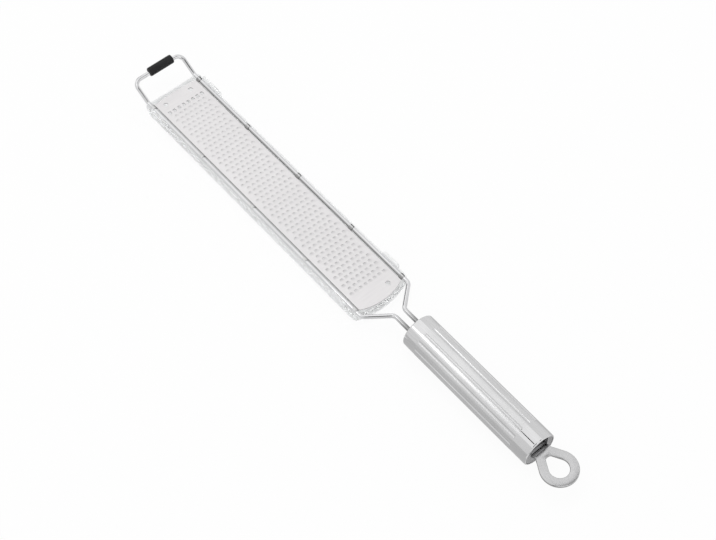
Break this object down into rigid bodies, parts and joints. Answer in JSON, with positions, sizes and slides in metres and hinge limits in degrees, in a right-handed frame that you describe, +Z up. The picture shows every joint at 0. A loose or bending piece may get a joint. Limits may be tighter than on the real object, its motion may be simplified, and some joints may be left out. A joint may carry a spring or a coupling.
{
  "type": "rasp zester",
  "caption": "Long fine rasp with an etched steel plate in a bent wire frame, a clear slide-off guard, a rubber tip foot and a grooved tube handle with a hanging loop.",
  "frame": {"origin": "middle of the bounding box, on the surface that the tool lies on with its teeth up", "axes": "+X along the tool from the tip to the hanging loop, +Z up out of the toothed face"},
  "size_m": [0.4064, 0.0456, 0.024],
  "materials": {
    "wire_steel": "polished",
    "plate_steel": "satin",
    "black_rubber": "matte",
    "clear_plastic": "gloss",
    "handle_steel": "satin",
    "loop_steel": "satin"
  },
  "bodies": {
    "rasp": {"wire_frame": "wire_steel", "rasp_plate": "plate_steel", "tip_foot": "black_rubber", "handle_tube": "handle_steel", "front_plug": "handle_steel", "end_cap": "handle_steel", "hanging_loop": "loop_steel"},
    "guard": {"guard": "clear_plastic"}
  },
  "joints": [
    {"name": "guard_slide", "type": "slide", "parent": "rasp", "child": "guard", "axis": [-1, 0, 0], "range_m": [0, 0.245]}
  ]
}
